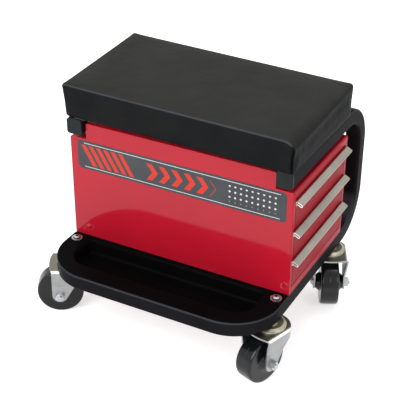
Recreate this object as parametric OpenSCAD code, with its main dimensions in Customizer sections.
// A rolling workshop seat: a bent square-tube frame on four swivel casters,
// with a three-drawer cabinet, a tool tray and a padded seat.
// Millimetres. X is to the drawer side, Y to the back, Z up. The origin is on
// the floor, under the middle of the frame.

/* [Frame tube] */
// Outside width of the square tube
tube_w = 25.4; // [22:0.2:27]
// Wall of the tube
tube_wall = 1.5; // [1:0.1:2.5]
// Outside corner radius of the tube's section
tube_corner_r = 4.5; // [3:0.1:6]
// Width of the frame, and of the cabinet that stands on it
frame_w = 370; // [350:1:400]
// Reach of the frame ahead of the cabinet
tray_reach = 105.5; // [100:0.5:125]
// Reach of the frame behind the cabinet
back_reach = 84.5; // [80:0.5:110]
// Outside radius of every bend
bend_r = 74; // [66:1:76]
// Height of the frame's underside over the floor
ground_gap = 93.2; // [92:0.2:100]
// Gap between the cabinet's top and the rails over it
rail_gap = 8; // [7:0.5:14]
// Reach of the rails' capped ends ahead of the cabinet
rail_nose = 7.4; // [6:0.2:14]
// Height of the rear brace's middle over the frame's top
brace_rise = 46; // [42:1:70]

/* [Cabinet] */
// Depth of the cabinet, front to back
cab_d = 200; // [190:1:220]
// Height of the cabinet at its sides
cab_h = 172; // [168:1:185]
// Rise of the cabinet's middle between the rails
riser_h = 26; // [20:1:32]
// Gap between each rail and the riser
riser_gap = 3.1; // [2:0.1:6]
// Thickness of the sheet steel
sheet_t = 1.2; // [0.8:0.1:1.5]
// Outside radius of the cabinet's folded edges
fold_r = 2.6; // [2:0.1:4]
// Width of the upright flanges beside the drawers
jamb_w = 7; // [5:0.5:8]
// Height of the sill under the bottom drawer
sill_h = 11; // [9:0.5:14]
// Height of the flange over the top drawer
header_h = 11.5; // [9:0.5:14]
// Gap between the top drawer's front and that flange
top_gap = 3.2; // [1.8:0.1:4]

/* [Drawers] */
// Gap between drawer fronts
front_gap = 1.8; // [1.2:0.1:2.5]
// Depth of a drawer's box behind its front
box_len = 340; // [310:1:344]
// Travel of each drawer
drawer_travel = 250; // [220:5:255]
// Thickness of a closed slide, across the drawer
slide_t = 12.7; // [12.2:0.1:13.2]
// Height of a slide's outer channel
slide_h = 35; // [34:0.5:37]
// Diameter of the balls in a slide
slide_ball_d = 5; // [4.6:0.1:5.2]
// Reach of a drawer's pull in front of its face
pull_reach = 12.4; // [10:0.2:16]
// Fall of the pull's top from the face to its nose
pull_drop = 5; // [4:0.2:7]

/* [Tray] */
// Thickness of the tray's sheet
tray_t = 1.2; // [0.8:0.1:1.6]
// Depth of the tray's basin
tray_depth = 24; // [18:1:30]
// Distance from the frame's side to the basin's rim
basin_side = 33; // [31:1:45]
// Length of the basin at its rim, front to back
basin_l = 66; // [60:1:68]
// Radius of the basin's front corners in plan
basin_r = 30; // [22:1:32]
// Radius of the basin's back corners in plan
basin_back_r = 8; // [7:0.5:14]

/* [Seat] */
// Reach of the cushion past the frame at each side
seat_side = 7.5; // [6.5:0.5:20]
// Reach of the cushion ahead of the cabinet
seat_front = 16; // [8:0.5:30]
// Reach of the cushion behind the cabinet
seat_back = 5; // [4:0.5:20]
// Height of the cushion from the rails to the middle of its top
seat_h = 54.6; // [48:0.2:70]
// Thickness of the seat board
board_t = 10; // [8:0.5:15]

/* [Casters] */
// Diameter of a wheel
wheel_d = 74; // [68:1:76]
// Width of the tread
tread_w = 30; // [26:1:32]
// Width of the wheel over its hub
hub_w = 44; // [40:0.5:46]
// Diameter of the hub beside the tread
hub_d = 31; // [28:1:34]
// Diameter of the hub's end faces
hub_end_d = 21; // [18:1:25]
// Distance of the axle behind the swivel's axis
trail = 20; // [18:0.5:22]
// Half the width of a fork's top, and its radius at the back
plate_r = 29; // [27.5:0.5:30]
// Thickness of a fork's steel
fork_t = 2.5; // [2:0.1:3]
// Direction in which each caster trails, from +X: front left
fl_angle = 210; // [0:1:360]
// Front right
fr_angle = 252; // [0:1:360]
// Rear left
rl_angle = 240; // [0:1:360]
// Rear right
rr_angle = 296; // [0:1:360]

/* [Hidden] */

// Smoothness of round forms, and the overrun of every cut
round_fn = 48;
small_fn = 24;
cut = 1;

// Colours
red = "#c4122a";
black = "#1c1d1f";
zinc = "#b9bcc0";
alloy = "#bcb9ac";

// Places that the frame gives to everything on it
frame_d = tray_reach + cab_d + back_reach;
front_y = -frame_d / 2;
back_y = frame_d / 2;
cab_y0 = front_y + tray_reach;
cab_y1 = cab_y0 + cab_d;
half_w = frame_w / 2;
side_x = half_w - tube_w / 2;
deck_z = ground_gap + tube_w;
cab_top = deck_z + cab_h;
rail_z = cab_top + rail_gap;
seat_z = rail_z + tube_w;
riser_top = cab_top + riser_h;
bend_cx = half_w - bend_r;
seam_x = -6.6;
seam_gap = 0.6;
bend_front_y = front_y + bend_r;
bend_back_y = back_y - bend_r;
bend_low_z = ground_gap + bend_r;
bend_high_z = seat_z - bend_r;
cap_t = 3;
rail_end_y = cab_y0 - rail_nose + cap_t;

// Fixings of the frame: radius of a fine screw's shank, its hole, head and head height
screw_r = 3;
hole_r = 3.3;
head_r = 5.5;
head_h = 3.4;
socket_r = 1.9;
washer_t = 1.2;
screw_inset = 17;
seat_bolt_inset = 30;
spacer_inset = 58;
floor_screw_inset = 45;
spacer_r = 6;

// Casters: the swivel head, from the frame's underside down
stem_r = 5;
stem_hole_r = 5.2;
nut_h = 8;
nut_r = 8.6;
shoulder_r = 11;
shoulder_h = 2;
cup_t = 1.6;
cup_top_r = 19.5;
cup_r = 24;
cup_h = 3.6;
cup_gap = 0.4;
ring_r = 23.6;
ring_top_r = 22;
ring_h = 2.2;
pin_r = 6;
run_gap = 0.06;
plate_z = ground_gap - shoulder_h - cup_h - cup_gap - ring_h;
flange_h = 2.6;
flange_gap = 0.3;
race_r = 16.5;
race_ball_d = 4;
race_balls = 18;
ball_gap = 0.05;
race_z = plate_z + ring_h + (cup_h - cup_t + cup_gap) / 2;
front_stem_lead = 34.5;
rear_stem_inset = 7.5;
front_stem_y = cab_y0 - front_stem_lead;
rear_stem_y = cab_y1 - rear_stem_inset;

// Casters: the fork, with its axle and wheel
wheel_r = wheel_d / 2;
hub_gap = 0.3;
leg_in = hub_w / 2 + hub_gap;
leg_out = leg_in + fork_t;
leg_bend_r = 5;
leg_end_r = 12;
front_bow = 3;
front_bow_r = 80;
leg_front = trail + leg_end_r + front_bow;
leg_knee_z = wheel_r + 17;
leg_waist_x = -15;
leg_waist_drop = 13;
leg_back_angle = 205;
plate_back_r = plate_r + 1.5;
axle_r = 4;
bush_r = 6;
axle_head_r = 7.4;
axle_head_h = 5.2;
axle_nut_h = 6.4;
axle_end = 2.4;
rim_depth = 9;
web_w = 25;
rim_chamfer = 1.5;
hub_cone_w = 6;
tread_power_share = 5;
tread_steps = 16;

CASTERS = [
    [-1, front_stem_y, fl_angle],
    [1, front_stem_y, fr_angle],
    [-1, rear_stem_y, rl_angle],
    [1, rear_stem_y, rr_angle]
];

// Drawers: heights are shared out between the sill and the header
slot_h = cab_h - sill_h - header_h;
front_pitch = (slot_h - top_gap) / 3;
front_h = front_pitch - front_gap;
front_inset = 1.5;
front_flange = 10;
slide_inset = 1;
slide_back_gap = 4;
upright_t = 6.5;
upright_w = 22;
box_t = 1;
box_rise = 3;
box_head = 6;
box_h = front_h - box_rise - box_head;
hem_t = 2.2;
hem_h = 5;
pull_t = 1.4;
pull_nose_r = 2.3;
pull_lip = 1.5;
pull_web = 9;
slide_len = box_len - front_flange - slide_inset - slide_back_gap;
cage_len = 84;
cage_balls = 6;
cage_t = 0.8;
cage_gap = 0.3;
cage_rim = 1;
lip_out = 10.6;
lip_t = 1.2;
slide_ball_gap = 0.1;
slide_curl = 0.8;
box_x1 = half_w - sheet_t;
box_x0 = box_x1 - box_len;
pan_x0 = box_x1 - front_flange;
slide_x1 = pan_x0 - slide_inset;
slide_x0 = slide_x1 - slide_len;
cage_x = slide_x1 - (slide_len - drawer_travel) / 2 - drawer_travel / 2;
wall_y = cab_d / 2 - sheet_t - upright_t;
box_w = 2 * (wall_y - slide_t);
cab_y = (cab_y0 + cab_y1) / 2;

// Steps of an arc from a0 to a1 about c: points for an outline
function arc_points(c, r, a0, a1, n) = [
    for (i = [0:n]) let (a = a0 + (a1 - a0) * i / n) c + r * [cos(a), sin(a)]
];

// Outline of a square with round corners, exact arcs
module round_square(side, r) {
    square([side - 2 * r, side], center = true);
    square([side, side - 2 * r], center = true);
    for (sx = [-1, 1], sy = [-1, 1])
        translate([sx * (side / 2 - r), sy * (side / 2 - r)]) circle(r = r, $fn = small_fn);
}

// Rectangle from corner to corner with round corners
module round_rect(lo, hi, r) {
    translate([lo[0] + r, lo[1]]) square([hi[0] - lo[0] - 2 * r, hi[1] - lo[1]]);
    translate([lo[0], lo[1] + r]) square([hi[0] - lo[0], hi[1] - lo[1] - 2 * r]);
    for (x = [lo[0] + r, hi[0] - r], y = [lo[1] + r, hi[1] - r])
        translate([x, y]) circle(r = r, $fn = small_fn);
}

// A block from its low corner to its high corner
module block(lo, hi) {
    translate(lo) cube(hi - lo);
}

// The tube's section, drawn in by the wall for the bore
module tube_section(inset) {
    round_square(tube_w - 2 * inset, tube_corner_r - inset);
}

// A quarter bend of the tube, from -Y to +X of its own plane
module tube_bend(inset) {
    rotate([0, 0, -90]) rotate_extrude(angle = 90, $fn = round_fn)
        translate([bend_r - tube_w / 2, 0]) tube_section(inset);
}

// One half of the frame: front bar, corner, side bar, rear bend, upright, top bend and rail
module frame_run(inset, over, seam) {
    translate([seam - over, front_y + tube_w / 2, ground_gap + tube_w / 2]) rotate([90, 0, 90])
        linear_extrude(bend_cx - seam + over) tube_section(inset);
    translate([bend_cx, bend_front_y, ground_gap + tube_w / 2]) tube_bend(inset);
    translate([side_x, bend_front_y, ground_gap + tube_w / 2]) rotate([-90, 0, 0])
        linear_extrude(bend_back_y - bend_front_y) tube_section(inset);
    translate([side_x, bend_back_y, bend_low_z]) rotate([90, 0, 90]) tube_bend(inset);
    translate([side_x, back_y - tube_w / 2, bend_low_z])
        linear_extrude(bend_high_z - bend_low_z) tube_section(inset);
    translate([side_x, bend_back_y, bend_high_z]) rotate([90, 0, 90]) rotate([0, 0, 90])
        tube_bend(inset);
    translate([side_x, rail_end_y - over, rail_z + tube_w / 2]) rotate([-90, 0, 0])
        linear_extrude(bend_back_y - rail_end_y + over) tube_section(inset);
}

module frame_half(seam) {
    difference() {
        frame_run(0, 0, seam);
        frame_run(tube_wall, cut, seam);
        for (y = [front_stem_y, rear_stem_y])
            translate([side_x, y, ground_gap - cut])
                cylinder(r = stem_hole_r, h = tube_wall + 2 * cut, $fn = small_fn);
        for (y = [cab_y0 - screw_inset, cab_y0 + floor_screw_inset, cab_y1 - floor_screw_inset])
            translate([side_x, y, deck_z - tube_wall - cut])
                cylinder(r = hole_r, h = tube_wall + 2 * cut, $fn = small_fn);
        for (y = [cab_y0 + seat_bolt_inset, cab_y1 - seat_bolt_inset])
            translate([side_x, y, rail_z - cut])
                cylinder(r = hole_r, h = tube_w + 2 * cut, $fn = small_fn);
        for (y = [cab_y0 + spacer_inset, cab_y1 - spacer_inset])
            translate([side_x, y, rail_z - cut])
                cylinder(r = hole_r, h = tube_wall + 2 * cut, $fn = small_fn);
    }
}

module frame_tube_right() {
    color(black) frame_half(seam_x + seam_gap / 2);
}

module frame_tube_left() {
    color(black) mirror([1, 0, 0]) frame_half(seam_gap / 2 - seam_x);
}

// The sleeve inside the front bar, over which the two halves meet
sleeve_len = 60;
sleeve_gap = 0.15;
sleeve_wall = 2;
module frame_sleeve() {
    color(zinc) translate([seam_x - sleeve_len / 2, front_y + tube_w / 2, ground_gap + tube_w / 2])
        rotate([90, 0, 90]) linear_extrude(sleeve_len) difference() {
            tube_section(tube_wall + sleeve_gap);
            square(tube_w - 2 * (tube_wall + sleeve_gap + sleeve_wall), center = true);
        }
}

// The brace that ties the two uprights behind the cabinet
module rear_brace() {
    span = side_x - tube_w / 2;
    color(black) translate([-span, back_y - tube_w / 2, deck_z + brace_rise])
        rotate([90, 0, 90]) linear_extrude(2 * span) difference() {
            tube_section(0);
            tube_section(tube_wall);
        }
}

// Plastic plugs that close the rails' front ends
cap_plug_len = 16;
cap_plug_wall = 2;
module rail_end_caps() {
    color(black) for (s = [-1, 1])
        translate([s * side_x, rail_end_y - cap_t, rail_z + tube_w / 2]) rotate([-90, 0, 0]) {
            linear_extrude(cap_t) tube_section(0);
            linear_extrude(cap_t + cap_plug_len) difference() {
                tube_section(tube_wall + sleeve_gap);
                square(tube_w - 2 * (tube_wall + sleeve_gap + cap_plug_wall), center = true);
            }
        }
}

// The pressed tray over the front loop: a flange with a deep basin
tray_inset = 0.4;
tray_back_gap = 0.6;
basin_back = 8.4;
basin_w = frame_w - 2 * basin_side;
basin_edge_r = 4;
basin_foot_r = 5;
basin_draft = 1.5;
tray_y1 = cab_y0 - tray_back_gap;
basin_y1 = tray_y1 - basin_back;
basin_y0 = basin_y1 - basin_l;

// Profile of the basin's wall about a corner of radius r, for sheet face f (0 inner, 1 outer)
function basin_wall(f, r) = let (
    er = basin_edge_r + (1 - f) * tray_t,
    fr = basin_foot_r + f * tray_t,
    x_rim = r + basin_edge_r,
    x_foot = r - basin_draft - basin_foot_r
) concat(
    arc_points([x_rim, -tray_t - basin_edge_r], er, 90, 180, 5),
    arc_points([x_foot, basin_foot_r - tray_depth], fr, 0, -90, 5)
);

module basin_profile(r) {
    inner = basin_wall(0, r);
    outer = basin_wall(1, r);
    n = len(outer) - 1;
    polygon(concat(inner, [for (i = [0:n]) outer[n - i]]));
}

// Outline of the basin, grown by out: wide corners at the front, tight ones at the back
module basin_plan(out) {
    x = basin_w / 2 + out;
    y0 = basin_y0 - out;
    y1 = basin_y1 + out;
    rf = basin_r + out;
    rb = basin_back_r + out;
    translate([-x, y0 + rf]) square([2 * x, y1 - rb - y0 - rf]);
    translate([-x + rf, y0]) square([2 * (x - rf), rf]);
    translate([-x + rb, y1 - rb]) square([2 * (x - rb), rb]);
    for (s = [-1, 1]) {
        translate([s * (x - rf), y0 + rf]) circle(r = rf, $fn = round_fn);
        translate([s * (x - rb), y1 - rb]) circle(r = rb, $fn = small_fn);
    }
}

module tray_outline(r_front, r_back) {
    x = half_w - tray_inset;
    y0 = front_y + tray_inset;
    intersection() {
        union() {
            translate([-x, y0 + r_front]) square([2 * x, tray_y1 - y0 - r_front + cut]);
            translate([-x + r_front, y0]) square([2 * (x - r_front), r_front]);
            for (s = [-1, 1])
                translate([s * (x - r_front), y0 + r_front]) circle(r = r_front, $fn = round_fn);
        }
        union() {
            translate([-x - cut, y0 - cut]) square([2 * (x + cut), tray_y1 - y0 - r_back + cut]);
            translate([-x + r_back, y0]) square([2 * (x - r_back), tray_y1 - y0]);
            for (s = [-1, 1])
                translate([s * (x - r_back), tray_y1 - r_back]) circle(r = r_back, $fn = small_fn);
        }
    }
}

module tool_tray() {
    foot = basin_draft + basin_foot_r;
    color(black) translate([0, 0, deck_z]) {
        // Flange, open over the basin
        difference() {
            linear_extrude(tray_t) tray_outline(bend_r - tray_inset, basin_edge_r);
            translate([0, 0, -cut]) linear_extrude(tray_t + 2 * cut) basin_plan(basin_edge_r);
            for (s = [-1, 1])
                translate([s * side_x, cab_y0 - screw_inset, -cut])
                    cylinder(r = hole_r, h = tray_t + 2 * cut, $fn = small_fn);
        }
        // Basin: four swept corners, four swept walls and a floor
        translate([0, 0, tray_t]) {
            for (s = [-1, 1]) {
                translate([s * (basin_w / 2 - basin_r), basin_y0 + basin_r, 0])
                    rotate([0, 0, s > 0 ? -90 : 180])
                        rotate_extrude(angle = 90, $fn = round_fn) basin_profile(basin_r);
                translate([s * (basin_w / 2 - basin_back_r), basin_y1 - basin_back_r, 0])
                    rotate([0, 0, s > 0 ? 0 : 90])
                        rotate_extrude(angle = 90, $fn = round_fn) basin_profile(basin_back_r);
                translate([s * (basin_w / 2 - basin_r),
                           s > 0 ? basin_y1 - basin_back_r : basin_y0 + basin_r, 0])
                    rotate([90, 0, s > 0 ? 0 : 180])
                        linear_extrude(basin_l - basin_r - basin_back_r) basin_profile(basin_r);
            }
            translate([basin_w / 2 - basin_r, basin_y0 + basin_r, 0]) rotate([90, 0, -90])
                linear_extrude(basin_w - 2 * basin_r) basin_profile(basin_r);
            translate([basin_back_r - basin_w / 2, basin_y1 - basin_back_r, 0]) rotate([90, 0, 90])
                linear_extrude(basin_w - 2 * basin_back_r) basin_profile(basin_back_r);
            translate([0, 0, -tray_depth - tray_t]) linear_extrude(tray_t) basin_plan(-foot);
        }
    }
}

// A button-head screw with a socket, a washer under its head and its tip down
module button_screw(len, seat) {
    translate([0, 0, seat]) difference() {
        union() {
            cylinder(r = head_r, h = head_h / 2, $fn = small_fn);
            translate([0, 0, head_h / 2])
                cylinder(r1 = head_r, r2 = head_r / 2, h = head_h / 2, $fn = small_fn);
        }
        translate([0, 0, head_h / 2]) cylinder(r = socket_r, h = head_h, $fn = small_fn);
    }
    translate([0, 0, seat - len]) cylinder(r = screw_r, h = len, $fn = small_fn);
}

module washer(r, seat) {
    translate([0, 0, seat]) difference() {
        cylinder(r = r, h = washer_t, $fn = small_fn);
        translate([0, 0, -cut]) cylinder(r = hole_r, h = washer_t + 2 * cut, $fn = small_fn);
    }
}

tray_washer_r = 8.6;
tray_screw_len = 12;
module tray_screws() {
    color(zinc) for (s = [-1, 1]) translate([s * side_x, cab_y0 - screw_inset, deck_z + tray_t]) {
        washer(tray_washer_r, 0);
        button_screw(tray_screw_len, washer_t);
    }
}

// Cabinet body: a block with a step along each side for the rails
module cabinet_outline(inset, foot) {
    x = half_w - inset;
    xr = side_x - tube_w / 2 - riser_gap - inset;
    r = fold_r - inset;
    translate([-x, deck_z - foot]) square([2 * x, cab_h / 2 + foot]);
    round_rect([-x, deck_z], [x, cab_top - inset], r);
    round_rect([-xr, cab_top - cab_h / 2], [xr, riser_top - inset], r);
}

module cabinet_block(inset, foot) {
    translate([0, cab_y1 - inset, 0]) rotate([90, 0, 0]) linear_extrude(cab_d - 2 * inset)
        cabinet_outline(inset, foot);
}

rivet_left_in = 26.6;
rivet_right_in = 6.5;
rivet_xs = [-half_w + rivet_left_in, half_w - rivet_right_in];
rivet_rise = 18.5;
rivet_z = deck_z + rivet_rise;
rivet_r = 2.4;
rivet_head_r = 4.4;
rivet_head_h = 1.8;
module cabinet_shell() {
    color(red) difference() {
        cabinet_block(0, 0);
        // Open at the foot, which the floor pan closes
        cabinet_block(sheet_t, cut);
        // The mouth for the drawers
        block([half_w - 2 * sheet_t, cab_y0 + jamb_w, deck_z + sill_h],
              [half_w + cut, cab_y1 - jamb_w, cab_top - header_h]);
        for (s = [-1, 1], y = [cab_y0 + spacer_inset, cab_y1 - spacer_inset])
            translate([s * side_x, y, cab_top - 2 * sheet_t])
                cylinder(r = hole_r, h = 4 * sheet_t, $fn = small_fn);
        for (x = rivet_xs, y = [cab_y0, cab_y1])
            translate([x, y + 2 * sheet_t, rivet_z]) rotate([90, 0, 0])
                cylinder(r = rivet_r + run_gap, h = 4 * sheet_t, $fn = small_fn);
    }
}

floor_gap = 0.2;
floor_flange_h = 26;
module cabinet_floor() {
    x = half_w - sheet_t - floor_gap;
    y0 = cab_y0 + sheet_t + floor_gap;
    y1 = cab_y1 - sheet_t - floor_gap;
    color(red) difference() {
        block([-x, y0, deck_z], [x, y1, deck_z + floor_flange_h]);
        block([-x + sheet_t, y0 + sheet_t, deck_z + sheet_t],
              [x + cut, y1 - sheet_t, deck_z + floor_flange_h + cut]);
        block([x - sheet_t, y0 - cut, deck_z + sill_h - front_gap],
              [x + cut, y1 + cut, deck_z + floor_flange_h + cut]);
        for (s = [-1, 1], y = [cab_y0 + floor_screw_inset, cab_y1 - floor_screw_inset])
            translate([s * side_x, y, deck_z - cut])
                cylinder(r = hole_r, h = sheet_t + 2 * cut, $fn = small_fn);
        for (x = rivet_xs, y = [cab_y0, cab_y1])
            translate([x, y + 4 * sheet_t, rivet_z]) rotate([90, 0, 0])
                cylinder(r = rivet_r + run_gap, h = 8 * sheet_t, $fn = small_fn);
    }
}

// Rivets that hold the floor pan's flanges to the front and back walls
module cabinet_rivets() {
    grip = 2 * sheet_t + floor_gap;
    color(red) for (x = rivet_xs, e = [-1, 1])
        translate([x, cab_y + e * cab_d / 2, rivet_z]) rotate([e * -90, 0, 0]) {
            translate([0, 0, -grip]) cylinder(r = rivet_r, h = grip, $fn = small_fn);
            intersection() {
                cylinder(r = rivet_head_r, h = rivet_head_h, $fn = small_fn);
                translate([0, 0, rivet_head_h - 2 * rivet_head_r])
                    sphere(r = 2 * rivet_head_r, $fn = round_fn);
            }
            translate([0, 0, -grip - rivet_head_h]) cylinder(r = rivet_head_r, h = rivet_head_h, $fn = small_fn);
        }
}

// Screws from the cabinet's floor into the side bars
floor_screw_len = 14;
module cabinet_screws() {
    color(zinc) for (s = [-1, 1], y = [cab_y0 + floor_screw_inset, cab_y1 - floor_screw_inset])
        translate([s * side_x, y, deck_z + sheet_t]) button_screw(floor_screw_len, 0);
}

// Nylon spacers between the cabinet's top and the rails, with their bolts
module rail_spacers() {
    color(black) for (s = [-1, 1], y = [cab_y0 + spacer_inset, cab_y1 - spacer_inset])
        translate([s * side_x, y, cab_top]) difference() {
            cylinder(r = spacer_r, h = rail_gap, $fn = small_fn);
            translate([0, 0, -cut]) cylinder(r = hole_r, h = rail_gap + 2 * cut, $fn = small_fn);
        }
}

rail_bolt_bite = 6;
module rail_bolts() {
    color(zinc) for (s = [-1, 1], y = [cab_y0 + spacer_inset, cab_y1 - spacer_inset])
        translate([s * side_x, y, cab_top - sheet_t]) mirror([0, 0, 1])
            button_screw(sheet_t + rail_gap + tube_wall + rail_bolt_bite, 0);
}

// Upright channels that carry the slides off the front and back walls, over the floor's flanges
module slide_uprights() {
    z0 = deck_z + floor_flange_h + floor_gap;
    z1 = cab_top - header_h;
    color(zinc) for (x = [slide_x1 - upright_w - fold_r, slide_x0 + fold_r], e = [-1, 1])
        translate([x, cab_y + e * wall_y, 0]) mirror([0, e > 0 ? 0 : 1, 0]) difference() {
            block([0, 0, z0], [upright_w, upright_t, z1]);
            block([sheet_t, sheet_t, z0 - cut], [upright_w - sheet_t, upright_t + cut, z1 + cut]);
        }
}

// Slide sections: u runs from the wall towards the drawer, w is up from the slide's middle
module outer_channel() {
    translate([0, -slide_h / 2]) square([lip_t, slide_h]);
    for (m = [0, 1]) mirror([0, m]) {
        translate([0, slide_h / 2 - lip_t]) square([lip_out, lip_t]);
        translate([lip_out - lip_t, slide_h / 2 - lip_t - slide_curl]) square([lip_t, lip_t + slide_curl]);
    }
}

ball_w = slide_h / 2 - lip_t - slide_ball_gap - slide_ball_d / 2;
runner_w = ball_w - slide_ball_d / 2 - slide_ball_gap;
cage_u = lip_t + cage_gap;
runner_u = cage_u + cage_t + cage_gap;
ball_u = (runner_u + lip_t + lip_out - lip_t) / 2;

module inner_channel() {
    translate([slide_t - lip_t, -runner_w]) square([lip_t, 2 * runner_w]);
    for (m = [0, 1]) mirror([0, m]) {
        translate([runner_u, runner_w - lip_t]) square([slide_t - runner_u, lip_t]);
        translate([runner_u, runner_w - lip_t]) square([lip_t, lip_t + slide_curl]);
    }
}

module cage_section() {
    translate([cage_u, -ball_w - cage_t / 2]) square([cage_t, 2 * ball_w + cage_t]);
    for (m = [0, 1]) mirror([0, m])
        translate([cage_u, ball_w - cage_t / 2])
            square([ball_u + slide_ball_d / 2 + cage_rim - cage_u, cage_t]);
}

// Sets a slide section's sweep at the front (e = -1) or back (e = 1) wall of drawer n
function slide_mid_z(n) = deck_z + sill_h + front_gap + n * front_pitch + box_rise + slide_h / 2;
module at_slide(n, e, x) {
    translate([x, cab_y + e * wall_y, slide_mid_z(n)]) mirror([0, e > 0 ? 1 : 0, 0])
        rotate([90, 0, 90]) children();
}

module cabinet_slides() {
    color(zinc) for (n = [0:2], e = [-1, 1])
        at_slide(n, e, slide_x0) linear_extrude(slide_len) outer_channel();
}

module drawer_runners(n) {
    color(zinc) for (e = [-1, 1])
        at_slide(n, e, slide_x0) linear_extrude(slide_len) inner_channel();
}

module slide_cages(n) {
    pitch = cage_len / cage_balls;
    color(zinc) for (e = [-1, 1]) at_slide(n, e, cage_x - cage_len / 2) {
        difference() {
            linear_extrude(cage_len) cage_section();
            for (i = [0:cage_balls - 1])
                translate([ball_u, 0, (i + 0.5) * pitch]) rotate([90, 0, 0])
                    cylinder(r = slide_ball_d / 2 + slide_ball_gap, h = slide_h, center = true, $fn = small_fn);
        }
        for (i = [0:cage_balls - 1], m = [-1, 1])
            translate([ball_u, m * ball_w, (i + 0.5) * pitch]) sphere(d = slide_ball_d, $fn = small_fn);
    }
}

// A drawer's folded box, with hemmed top edges
module drawer_box(n) {
    z = deck_z + sill_h + front_gap + n * front_pitch + box_rise;
    y = box_w / 2;
    color(red) translate([0, cab_y, z]) difference() {
        union() {
            block([box_x0, -y, 0], [box_x1, y, box_h]);
        }
        block([box_x0 + box_t, -y + box_t, box_t], [box_x1 - box_t, y - box_t, box_h - hem_h]);
        block([box_x0 + hem_t, -y + hem_t, box_t], [box_x1 - hem_t, y - hem_t, box_h + cut]);
    }
}

// A drawer's front: a shallow pan, its flanges turned in to meet the box
module drawer_front(n) {
    z0 = deck_z + sill_h + front_gap + n * front_pitch;
    y0 = cab_y0 + jamb_w + front_inset;
    y1 = cab_y1 - jamb_w - front_inset;
    color(red) difference() {
        block([pan_x0, y0, z0], [half_w, y1, z0 + front_h]);
        block([pan_x0 - cut, y0 + sheet_t, z0 + sheet_t], [half_w - sheet_t, y1 - sheet_t, z0 + front_h - sheet_t]);
    }
}

// Section of the pull, from the front's top edge (u = 0, w = 0): a web down the front's face, a top
// that slopes out to a rolled nose, and a short lip turned back under it
module pull_section() {
    nose = [pull_reach - pull_nose_r, -pull_drop - pull_nose_r + pull_t];
    fall = atan2(pull_drop, pull_reach);
    back = [-cos(fall), sin(fall)];
    down = [-sin(fall), -cos(fall)];
    polygon(concat(
        [[0, -pull_web], [0, 0]],
        arc_points(nose, pull_nose_r, 90 - fall, -90 - fall, 10),
        [nose + pull_nose_r * down + pull_lip * back, nose + (pull_nose_r - pull_t) * down + pull_lip * back],
        arc_points(nose, pull_nose_r - pull_t, -90 - fall, 90 - fall, 10),
        [[pull_t, -pull_t * (1 + tan(fall))], [pull_t, -pull_web]]
    ));
}

module drawer_pull(n) {
    z = deck_z + sill_h + front_gap + n * front_pitch + front_h;
    y0 = cab_y0 + jamb_w + front_inset;
    y1 = cab_y1 - jamb_w - front_inset;
    color(alloy) translate([half_w, y1, z]) rotate([90, 0, 0]) linear_extrude(y1 - y0) pull_section();
}

// The seat: a board under a stuffed cushion, bolted up through the rails
board_inset = 12;
board_r = 8;
seat_w = frame_w + 2 * seat_side;
seat_d = seat_front + cab_d + seat_back;
seat_cy = cab_y0 - seat_front + seat_d / 2;
module seat_board() {
    x = seat_w / 2 - board_inset;
    y = seat_d / 2 - board_inset;
    color("tan") translate([0, seat_cy, seat_z]) difference() {
        linear_extrude(board_t) round_rect([-x, -y], [x, y], board_r);
        for (s = [-1, 1], yy = [cab_y0 + seat_bolt_inset, cab_y1 - seat_bolt_inset])
            translate([s * side_x, yy - seat_cy, -cut])
                cylinder(r = tee_r + run_gap, h = board_t + 2 * cut, $fn = small_fn);
    }
}

tee_r = 4.2;
tee_flange_r = 8;
tee_flange_t = 1.2;
module seat_tee_nuts() {
    color(zinc) for (s = [-1, 1], y = [cab_y0 + seat_bolt_inset, cab_y1 - seat_bolt_inset])
        translate([s * side_x, y, seat_z]) difference() {
            union() {
                cylinder(r = tee_r, h = board_t, $fn = small_fn);
                translate([0, 0, board_t]) cylinder(r = tee_flange_r, h = tee_flange_t, $fn = small_fn);
            }
            translate([0, 0, -cut]) cylinder(r = screw_r + run_gap, h = board_t + cut, $fn = small_fn);
        }
}

module seat_bolts() {
    color(zinc) for (s = [-1, 1], y = [cab_y0 + seat_bolt_inset, cab_y1 - seat_bolt_inset])
        translate([s * side_x, y, rail_z]) mirror([0, 0, 1]) button_screw(tube_w + board_t, 0);
}

// The cushion's rings: how far each lies inside the widest outline, and its height
cushion_insets = [8, 6.6, 5.4, 3.8, 2.1, 0.7, 0, 0.3, 1.9, 5, 11, 25, 47, 76];
cushion_height_shares = [0, 0.03, 0.18, 0.38, 0.58, 0.74, 0.82, 0.88, 0.925, 0.955, 0.972, 0.986, 0.996, 1];
cushion_corner_r = 9;
cushion_draw = 2.4;
cushion_foot_draw = 0.8;
cushion_gap = 0.3;
corner_steps = 4;
side_steps = 8;

// Points of one ring: round corners, with sides drawn in between them
function ring_side(a, b, k, draw) = [
    for (i = [1:side_steps - 1]) let (t = i / side_steps, d = draw * sin(180 * t))
        a + (b - a) * t - d * [cos(90 * k), sin(90 * k)]
];
function ring_corner(c, r, k) = arc_points(c, r, 90 * k, 90 * (k + 1), corner_steps);
function ring_outline(hx, hy, r, draw) = let (x = hx - r, y = hy - r) concat(
    ring_corner([x, y], r, 0), ring_side([x, hy], [-x, hy], 1, draw),
    ring_corner([-x, y], r, 1), ring_side([-hx, y], [-hx, -y], 2, draw),
    ring_corner([-x, -y], r, 2), ring_side([-x, -hy], [x, -hy], 3, draw),
    ring_corner([x, -y], r, 3), ring_side([hx, -y], [hx, y], 4, draw)
);
function cushion_ring(i) = let (
    inset = cushion_insets[i],
    z = seat_z + seat_h * cushion_height_shares[i],
    draw = cushion_foot_draw + (cushion_draw - cushion_foot_draw) * sin(180 * cushion_height_shares[i])
) lift_ring(ring_outline(seat_w / 2 - inset, seat_d / 2 - inset, cushion_corner_r, draw), z);
function lift_ring(ring, z) = [for (p = ring) [p[0], p[1] + seat_cy, z]];

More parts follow.
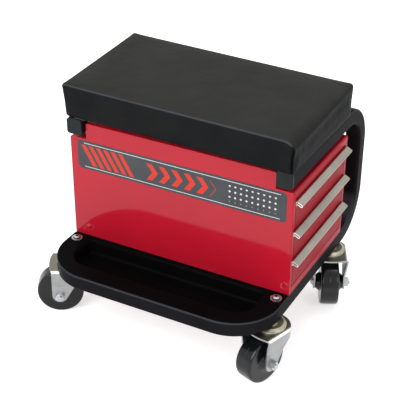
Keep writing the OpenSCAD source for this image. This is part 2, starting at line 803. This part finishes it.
// The recess that takes the board, as a ring at height z
function recess_ring(z) = lift_ring(ring_outline(seat_w / 2 - board_inset + cushion_gap,
    seat_d / 2 - board_inset + cushion_gap, board_r + cushion_gap, 0), z);

// Rings joined from the recess's roof, down round the foot, up and over to the crown
recess_z = seat_z + board_t + tee_flange_t + cushion_gap;
module cushion_form() {
    rings = len(cushion_insets) + 2;
    points = [
        each recess_ring(recess_z), each recess_ring(seat_z),
        for (i = [0:rings - 3]) each cushion_ring(i)
    ];
    n = len(points) / rings;
    last = (rings - 1) * n;
    faces = [
        for (j = [0:n - 1]) [rings * n, j, (j + 1) % n],
        for (i = [0:rings - 2], j = [0:n - 1]) let (k = (j + 1) % n)
            each [[i * n + j, (i + 1) * n + k, i * n + k], [i * n + j, (i + 1) * n + j, (i + 1) * n + k]],
        for (j = [0:n - 1]) [rings * n + 1, last + (j + 1) % n, last + j]
    ];
    polyhedron(concat(points, [[0, seat_cy, recess_z], [0, seat_cy, seat_z + seat_h]]), faces, convexity = 4);
}

module seat_cushion() {
    color("#26282a") cushion_form();
}

// Puts what follows at a caster's swivel axis, its +X along the trail
module at_swivel(c) {
    translate([c[0] * side_x, c[1], 0]) rotate([0, 0, c[2]]) children();
}

// Weld nuts inside the side bars, which take the stems
module stem_nuts() {
    color(zinc) for (c = CASTERS) translate([c[0] * side_x, c[1], ground_gap + tube_wall]) difference() {
        cylinder(r = nut_r, h = nut_h, $fn = 6);
        translate([0, 0, -cut]) cylinder(r = stem_r + run_gap, h = nut_h + 2 * cut, $fn = small_fn);
    }
}

// Stem, shoulder, swivel pin and the flange that keeps the fork on it
module caster_stems() {
    flange_z = plate_z - fork_t - flange_gap;
    color(zinc) for (c = CASTERS) at_swivel(c) {
        translate([0, 0, ground_gap]) cylinder(r = stem_r, h = tube_wall + nut_h, $fn = small_fn);
        translate([0, 0, ground_gap - shoulder_h]) cylinder(r = shoulder_r, h = shoulder_h, $fn = small_fn);
        translate([0, 0, flange_z]) cylinder(r = pin_r, h = ground_gap - shoulder_h - flange_z, $fn = small_fn);
        translate([0, 0, flange_z - flange_h]) cylinder(r = shoulder_r, h = flange_h, $fn = small_fn);
    }
}

// The race's groove, cut in the cup and in the fork's top
module race_groove() {
    translate([0, 0, race_z]) rotate_extrude($fn = round_fn) translate([race_r, 0])
        circle(r = race_ball_d / 2 + ball_gap, $fn = small_fn);
}

// Fixed dished cups over the ball races
module caster_cups() {
    top = ground_gap - shoulder_h;
    color(zinc) for (c = CASTERS) at_swivel(c) difference() {
        rotate_extrude($fn = round_fn) polygon([
            [pin_r + run_gap, top], [cup_top_r, top], [cup_r, top - cup_h + cup_t / 2],
            [cup_r, top - cup_h], [cup_r - cup_t, top - cup_h], [cup_top_r - cup_t / 2, top - cup_t],
            [pin_r + run_gap, top - cup_t]
        ]);
        race_groove();
    }
}

module swivel_balls() {
    color(zinc) for (c = CASTERS) at_swivel(c) for (i = [0:race_balls - 1])
        rotate([0, 0, 360 * i / race_balls]) translate([race_r, 0, race_z])
            sphere(d = race_ball_d, $fn = small_fn);
}

// Arch of a fork seen along its trail, drawn in by the steel's thickness for the inside
module fork_arch(inset) {
    top = plate_z - inset;
    knee = leg_out - inset;
    wide = plate_r - inset;
    r = leg_bend_r - inset;
    function half(s) = concat(
        [[s * knee, -cut], [s * knee, leg_knee_z]],
        [for (p = arc_points([wide - r, top - r], r, 0, 90, 4)) [s * p[0], p[1]]]
    );
    left = half(-1);
    right = half(1);
    n = len(left) - 1;
    polygon(concat(right, [for (i = [0:n]) left[n - i]]));
}

// Side view of a fork: legs taper from the top plate to a round end at the axle
module fork_side() {
    back = [trail, wheel_r] + leg_end_r * [cos(leg_back_angle), sin(leg_back_angle)];
    translate([trail, wheel_r]) circle(r = leg_end_r, $fn = small_fn);
    polygon([
        [leg_front + cut, plate_z + ring_h + cut], [leg_front + cut, plate_z - 2 * fork_t],
        [leg_front - front_bow, plate_z - 4 * fork_t], [leg_front - front_bow, wheel_r],
        [trail, wheel_r], back,
        [leg_waist_x, plate_z - leg_waist_drop], [-plate_back_r - cut, plate_z - leg_waist_drop],
        [-plate_back_r - cut, plate_z + ring_h + cut]
    ]);
}

// Plan of a fork: round at the back, and bowed out a little at the front
module fork_plan() {
    circle(r = plate_back_r, $fn = round_fn);
    intersection() {
        translate([0, -plate_back_r]) square([leg_front + cut, 2 * plate_back_r]);
        translate([leg_front + cut - front_bow_r, 0]) circle(r = front_bow_r, $fn = 4 * round_fn);
    }
}

module caster_fork(c) {
    color(zinc) at_swivel(c) difference() {
        union() {
            intersection() {
                translate([-plate_back_r - cut, 0, 0]) rotate([90, 0, 90])
                    linear_extrude(plate_back_r + leg_front + 2 * cut) difference() {
                        fork_arch(0);
                        fork_arch(fork_t);
                    }
                translate([0, plate_back_r, 0]) rotate([90, 0, 0]) linear_extrude(2 * plate_back_r)
                    fork_side();
                linear_extrude(plate_z + ring_h) fork_plan();
            }
            // Raised ring that carries the race
            translate([0, 0, plate_z - fork_t / 2])
                cylinder(r = ring_r, h = fork_t / 2 + ring_h / 2, $fn = round_fn);
            translate([0, 0, plate_z + ring_h / 2])
                cylinder(r1 = ring_r, r2 = ring_top_r, h = ring_h / 2, $fn = round_fn);
        }
        translate([0, 0, plate_z - fork_t - cut])
            cylinder(r = pin_r + run_gap, h = fork_t + ring_h + 2 * cut, $fn = small_fn);
        race_groove();
        translate([trail, plate_r, wheel_r]) rotate([90, 0, 0])
            cylinder(r = axle_r + run_gap, h = 2 * plate_r, $fn = small_fn);
    }
}

// Puts what follows at a caster's axle, its +Z along the axle
module at_axle(c) {
    at_swivel(c) translate([trail, 0, wheel_r]) rotate([90, 0, 0]) children();
}

module caster_wheel(c) {
    rim_r = wheel_r - rim_depth;
    tread = [for (i = [0:tread_steps]) let (u = 2 * i / tread_steps - 1)
        [rim_r + rim_depth * pow(1 - pow(abs(u), tread_power_share), 1 / tread_power_share), u * tread_w / 2]];
    color(black) at_axle(c) rotate_extrude($fn = round_fn) polygon(concat(
        [[bush_r + run_gap, -hub_w / 2], [hub_end_d / 2, -hub_w / 2],
         [hub_d / 2, -hub_w / 2 + hub_cone_w], [hub_d / 2, -web_w / 2], [rim_r - rim_chamfer, -web_w / 2]],
        tread,
        [[rim_r - rim_chamfer, web_w / 2], [hub_d / 2, web_w / 2], [hub_d / 2, hub_w / 2 - hub_cone_w],
         [hub_end_d / 2, hub_w / 2], [bush_r + run_gap, hub_w / 2]]
    ));
}

module wheel_bush(c) {
    color(zinc) at_axle(c) difference() {
        cylinder(r = bush_r, h = 2 * leg_in, center = true, $fn = small_fn);
        cylinder(r = axle_r + run_gap, h = 2 * leg_in + cut, center = true, $fn = small_fn);
    }
}

module axle_bolt(c) {
    color(zinc) at_axle(c) {
        translate([0, 0, -leg_out - axle_nut_h - axle_end])
            cylinder(r = axle_r, h = 2 * leg_out + axle_nut_h + axle_end, $fn = small_fn);
        translate([0, 0, leg_out]) intersection() {
            cylinder(r = axle_head_r, h = axle_head_h, $fn = 6);
            translate([0, 0, axle_head_h - axle_head_r]) sphere(r = axle_head_r, $fn = small_fn);
        }
    }
}

module axle_nut(c) {
    color(zinc) at_axle(c) translate([0, 0, -leg_out - axle_nut_h]) difference() {
        cylinder(r = axle_head_r, h = axle_nut_h, $fn = 6);
        translate([0, 0, -cut]) cylinder(r = axle_r + run_gap, h = axle_nut_h + 2 * cut, $fn = small_fn);
    }
}

frame_tube_left();
frame_tube_right();
frame_sleeve();
rear_brace();
rail_end_caps();
tool_tray();
tray_screws();
stem_nuts();
caster_stems();
caster_cups();
swivel_balls();
cabinet_shell();
cabinet_floor();
cabinet_rivets();
cabinet_screws();
slide_uprights();
cabinet_slides();
rail_spacers();
rail_bolts();
drawer_box(0);  // drawer_box_bottom
drawer_box(1);  // drawer_box_middle
drawer_box(2);  // drawer_box_top
drawer_front(0);  // drawer_front_bottom
drawer_front(1);  // drawer_front_middle
drawer_front(2);  // drawer_front_top
drawer_pull(0);  // drawer_pull_bottom
drawer_pull(1);  // drawer_pull_middle
drawer_pull(2);  // drawer_pull_top
drawer_runners(0);  // drawer_runners_bottom
drawer_runners(1);  // drawer_runners_middle
drawer_runners(2);  // drawer_runners_top
slide_cages(0);  // slide_cages_bottom
slide_cages(1);  // slide_cages_middle
slide_cages(2);  // slide_cages_top
seat_board();
seat_cushion();
seat_bolts();
seat_tee_nuts();
caster_fork(CASTERS[0]);  // caster_fork_fl
caster_fork(CASTERS[1]);  // caster_fork_fr
caster_fork(CASTERS[2]);  // caster_fork_rl
caster_fork(CASTERS[3]);  // caster_fork_rr
caster_wheel(CASTERS[0]);  // caster_wheel_fl
caster_wheel(CASTERS[1]);  // caster_wheel_fr
caster_wheel(CASTERS[2]);  // caster_wheel_rl
caster_wheel(CASTERS[3]);  // caster_wheel_rr
wheel_bush(CASTERS[0]);  // wheel_bush_fl
wheel_bush(CASTERS[1]);  // wheel_bush_fr
wheel_bush(CASTERS[2]);  // wheel_bush_rl
wheel_bush(CASTERS[3]);  // wheel_bush_rr
axle_bolt(CASTERS[0]);  // axle_bolt_fl
axle_bolt(CASTERS[1]);  // axle_bolt_fr
axle_bolt(CASTERS[2]);  // axle_bolt_rl
axle_bolt(CASTERS[3]);  // axle_bolt_rr
axle_nut(CASTERS[0]);  // axle_nut_fl
axle_nut(CASTERS[1]);  // axle_nut_fr
axle_nut(CASTERS[2]);  // axle_nut_rl
axle_nut(CASTERS[3]);  // axle_nut_rr
